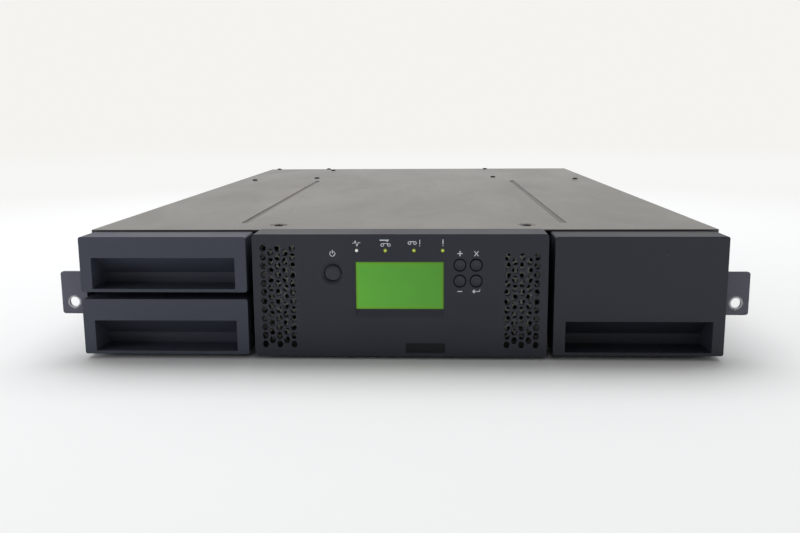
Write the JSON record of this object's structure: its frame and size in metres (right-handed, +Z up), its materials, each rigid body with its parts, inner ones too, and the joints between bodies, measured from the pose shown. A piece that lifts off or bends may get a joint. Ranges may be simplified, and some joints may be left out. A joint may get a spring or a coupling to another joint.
{
  "type": "data tape library",
  "caption": "Low rack-mounted tape library with sliding cartridge magazines, a pull-out cartridge station, a robot picker on a carriage and a front display panel",
  "frame": {"origin": "middle of the bounding box on the surface the unit stands on", "axes": "+X to the right seen from the front, +Y from the front to the rear, +Z up"},
  "size_m": [0.4826, 0.758, 0.0891],
  "materials": {
    "zinc_sheet": "zinc-plated, fine grain",
    "screen_sheet": "perforated, zinc-plated",
    "cover_paint": "satin charcoal powder coat",
    "ear_paint": "satin dark paint",
    "dark_screw": "black oxide",
    "bright_steel": "ground and polished",
    "thumbscrew_steel": "knurled",
    "front_plastic": "fine-textured blue-black moulding",
    "panel_plastic": "fine-textured black moulding",
    "button_plastic": "satin",
    "lens": "clear over a green backlight",
    "display": "lit green panel",
    "light_pipe": "milky",
    "board": "solder-masked board",
    "magazine_plastic": "satin black moulding",
    "rack_plastic": "natural acetal",
    "motor_paint": "black",
    "belt_rubber": "toothed belt",
    "pulley_metal": "turned",
    "picker_plastic": "satin moulding",
    "finger_plastic": "acetal",
    "drive_case": "grey",
    "port_shell": "plated shell",
    "fan_plastic": "black moulding",
    "handle_plastic": "blue touch point",
    "inlet_plastic": "black"
  },
  "bodies": {
    "base": {"chassis_base": "zinc_sheet", "top_cover": "cover_paint", "rear_bulkhead": "zinc_sheet", "front_bulkhead": "screen_sheet", "rack_ear_left": "ear_paint", "rack_ear_right": "ear_paint", "case_screws": "dark_screw", "magazine_rails": "zinc_sheet", "floor_rack": "rack_plastic", "guide_rod": "bright_steel", "front_panel": "panel_plastic", "display_window": "lens", "display_module": "display", "status_lights": "light_pipe", "panel_board": "board"},
    "power_button": {"power_button": "button_plastic"},
    "key_plus": {"key_plus": "button_plastic"},
    "key_cancel": {"key_cancel": "button_plastic"},
    "key_minus": {"key_minus": "button_plastic"},
    "key_enter": {"key_enter": "button_plastic"},
    "left_magazine": {"left_magazine_front": "front_plastic", "left_magazine_shell": "magazine_plastic", "left_magazine_dividers": "magazine_plastic", "left_magazine_shelves": "magazine_plastic"},
    "cartridge_station": {"station_front": "front_plastic", "station_tray": "magazine_plastic"},
    "right_magazine": {"right_magazine_front": "front_plastic", "right_magazine_shell": "magazine_plastic", "right_magazine_dividers": "magazine_plastic", "right_magazine_shelves": "magazine_plastic"},
    "carriage": {"carriage": "zinc_sheet", "carriage_motors": "motor_paint", "turn_belt": "belt_rubber"},
    "carriage_pinion": {"carriage_pinion": "rack_plastic"},
    "turn_pulley": {"turn_pulley": "pulley_metal"},
    "turntable": {"turntable": "zinc_sheet", "picker_posts": "bright_steel", "picker_bridge": "zinc_sheet"},
    "lead_screw_left": {"lead_screw_left": "bright_steel"},
    "lead_screw_right": {"lead_screw_right": "bright_steel"},
    "lift": {"lift_plate": "zinc_sheet"},
    "picker_tray": {"picker_tray": "picker_plastic"},
    "gripper": {"gripper": "picker_plastic"},
    "finger_left": {"finger_left": "finger_plastic"},
    "finger_right": {"finger_right": "finger_plastic"},
    "drive_sled": {"tape_drive": "drive_case", "drive_sled": "zinc_sheet", "drive_port": "port_shell", "drive_fan": "fan_plastic", "drive_handle": "handle_plastic", "drive_screws": "thumbscrew_steel"},
    "drive_fan_rotor": {"drive_fan_rotor": "fan_plastic"},
    "power_supply": {"power_supply": "zinc_sheet", "supply_fan": "fan_plastic", "mains_inlet": "inlet_plastic", "supply_screws": "thumbscrew_steel"},
    "supply_fan_rotor": {"supply_fan_rotor": "fan_plastic"},
    "controller": {"control_card": "zinc_sheet", "control_ports": "port_shell", "control_screws": "thumbscrew_steel"}
  },
  "joints": [
    {"name": "left_magazine_slide", "type": "slide", "parent": "base", "child": "left_magazine", "axis": [0, -1, 0], "range_m": [0, 0.43]},
    {"name": "station_slide", "type": "slide", "parent": "left_magazine", "child": "cartridge_station", "axis": [0, -1, 0], "range_m": [0, 0.105]},
    {"name": "right_magazine_slide", "type": "slide", "parent": "base", "child": "right_magazine", "axis": [0, -1, 0], "range_m": [0, 0.43]},
    {"name": "power_press", "type": "slide", "parent": "base", "child": "power_button", "axis": [0, 1, 0], "range_m": [0, 0.0015], "stiffness_N_per_m": 1200},
    {"name": "key_plus_press", "type": "slide", "parent": "base", "child": "key_plus", "axis": [0, 1, 0], "range_m": [0, 0.001], "stiffness_N_per_m": 1200},
    {"name": "key_cancel_press", "type": "slide", "parent": "base", "child": "key_cancel", "axis": [0, 1, 0], "range_m": [0, 0.001], "stiffness_N_per_m": 1200},
    {"name": "key_minus_press", "type": "slide", "parent": "base", "child": "key_minus", "axis": [0, 1, 0], "range_m": [0, 0.001], "stiffness_N_per_m": 1200},
    {"name": "key_enter_press", "type": "slide", "parent": "base", "child": "key_enter", "axis": [0, 1, 0], "range_m": [0, 0.001], "stiffness_N_per_m": 1200},
    {"name": "carriage_travel", "type": "slide", "parent": "base", "child": "carriage", "axis": [0, 1, 0], "range_m": [-0.0404, 0.2934]},
    {"name": "carriage_pinion_spin", "type": "hinge", "parent": "carriage", "child": "carriage_pinion", "pos_m": [0.097, -0.214, 0.006], "axis": [0, 0, 1], "range_deg": [-2410, 340]},
    {"name": "turntable_turn", "type": "hinge", "parent": "carriage", "child": "turntable", "pos_m": [0, -0.254, 0.005], "axis": [0, 0, 1], "range_deg": [-90, 90]},
    {"name": "turn_pulley_spin", "type": "hinge", "parent": "carriage", "child": "turn_pulley", "pos_m": [0.091, -0.292, 0.005], "axis": [0, 0, 1], "range_deg": [-760, 760]},
    {"name": "lift_travel", "type": "slide", "parent": "turntable", "child": "lift", "axis": [0, 0, 1], "range_m": [0, 0.0492]},
    {"name": "lead_screw_left_spin", "type": "hinge", "parent": "turntable", "child": "lead_screw_left", "pos_m": [-0.0595, -0.254, 0.04], "axis": [0, 0, 1], "range_deg": [-10, 4450]},
    {"name": "lead_screw_right_spin", "type": "hinge", "parent": "turntable", "child": "lead_screw_right", "pos_m": [0.0595, -0.254, 0.04], "axis": [0, 0, 1], "range_deg": [-10, 4450]},
    {"name": "tray_travel", "type": "slide", "parent": "lift", "child": "picker_tray", "axis": [0, 1, 0], "range_m": [0, 0.056]},
    {"name": "gripper_travel", "type": "slide", "parent": "picker_tray", "child": "gripper", "axis": [0, 1, 0], "range_m": [0, 0.1]},
    {"name": "finger_left_grip", "type": "slide", "parent": "gripper", "child": "finger_left", "axis": [-1, 0, 0], "range_m": [0, 0.0015]},
    {"name": "finger_right_grip", "type": "slide", "parent": "gripper", "child": "finger_right", "axis": [1, 0, 0], "range_m": [0, 0.0015]},
    {"name": "drive_sled_slide", "type": "slide", "parent": "base", "child": "drive_sled", "axis": [0, 1, 0], "range_m": [0, 0.2]},
    {"name": "drive_fan_spin", "type": "hinge", "parent": "drive_sled", "child": "drive_fan_rotor", "pos_m": [0.04, 0.349, 0.044], "axis": [0, 1, 0], "continuous": true},
    {"name": "power_supply_slide", "type": "slide", "parent": "base", "child": "power_supply", "axis": [0, 1, 0], "range_m": [0, 0.17]},
    {"name": "supply_fan_spin", "type": "hinge", "parent": "power_supply", "child": "supply_fan_rotor", "pos_m": [-0.17375, 0.349, 0.052], "axis": [0, 1, 0], "continuous": true},
    {"name": "controller_slide", "type": "slide", "parent": "base", "child": "controller", "axis": [0, 1, 0], "range_m": [0, 0.18]}
  ],
  "couplings": [
    {"joint": "carriage_pinion_spin", "follows": "carriage_travel", "rad_per_m": -142.86},
    {"joint": "turn_pulley_spin", "follows": "turntable_turn", "ratio": 8.3214},
    {"joint": "lead_screw_left_spin", "follows": "lift_travel", "rad_per_m": 1570.8},
    {"joint": "lead_screw_right_spin", "follows": "lift_travel", "rad_per_m": 1570.8},
    {"joint": "finger_right_grip", "follows": "finger_left_grip", "ratio": 1}
  ]
}
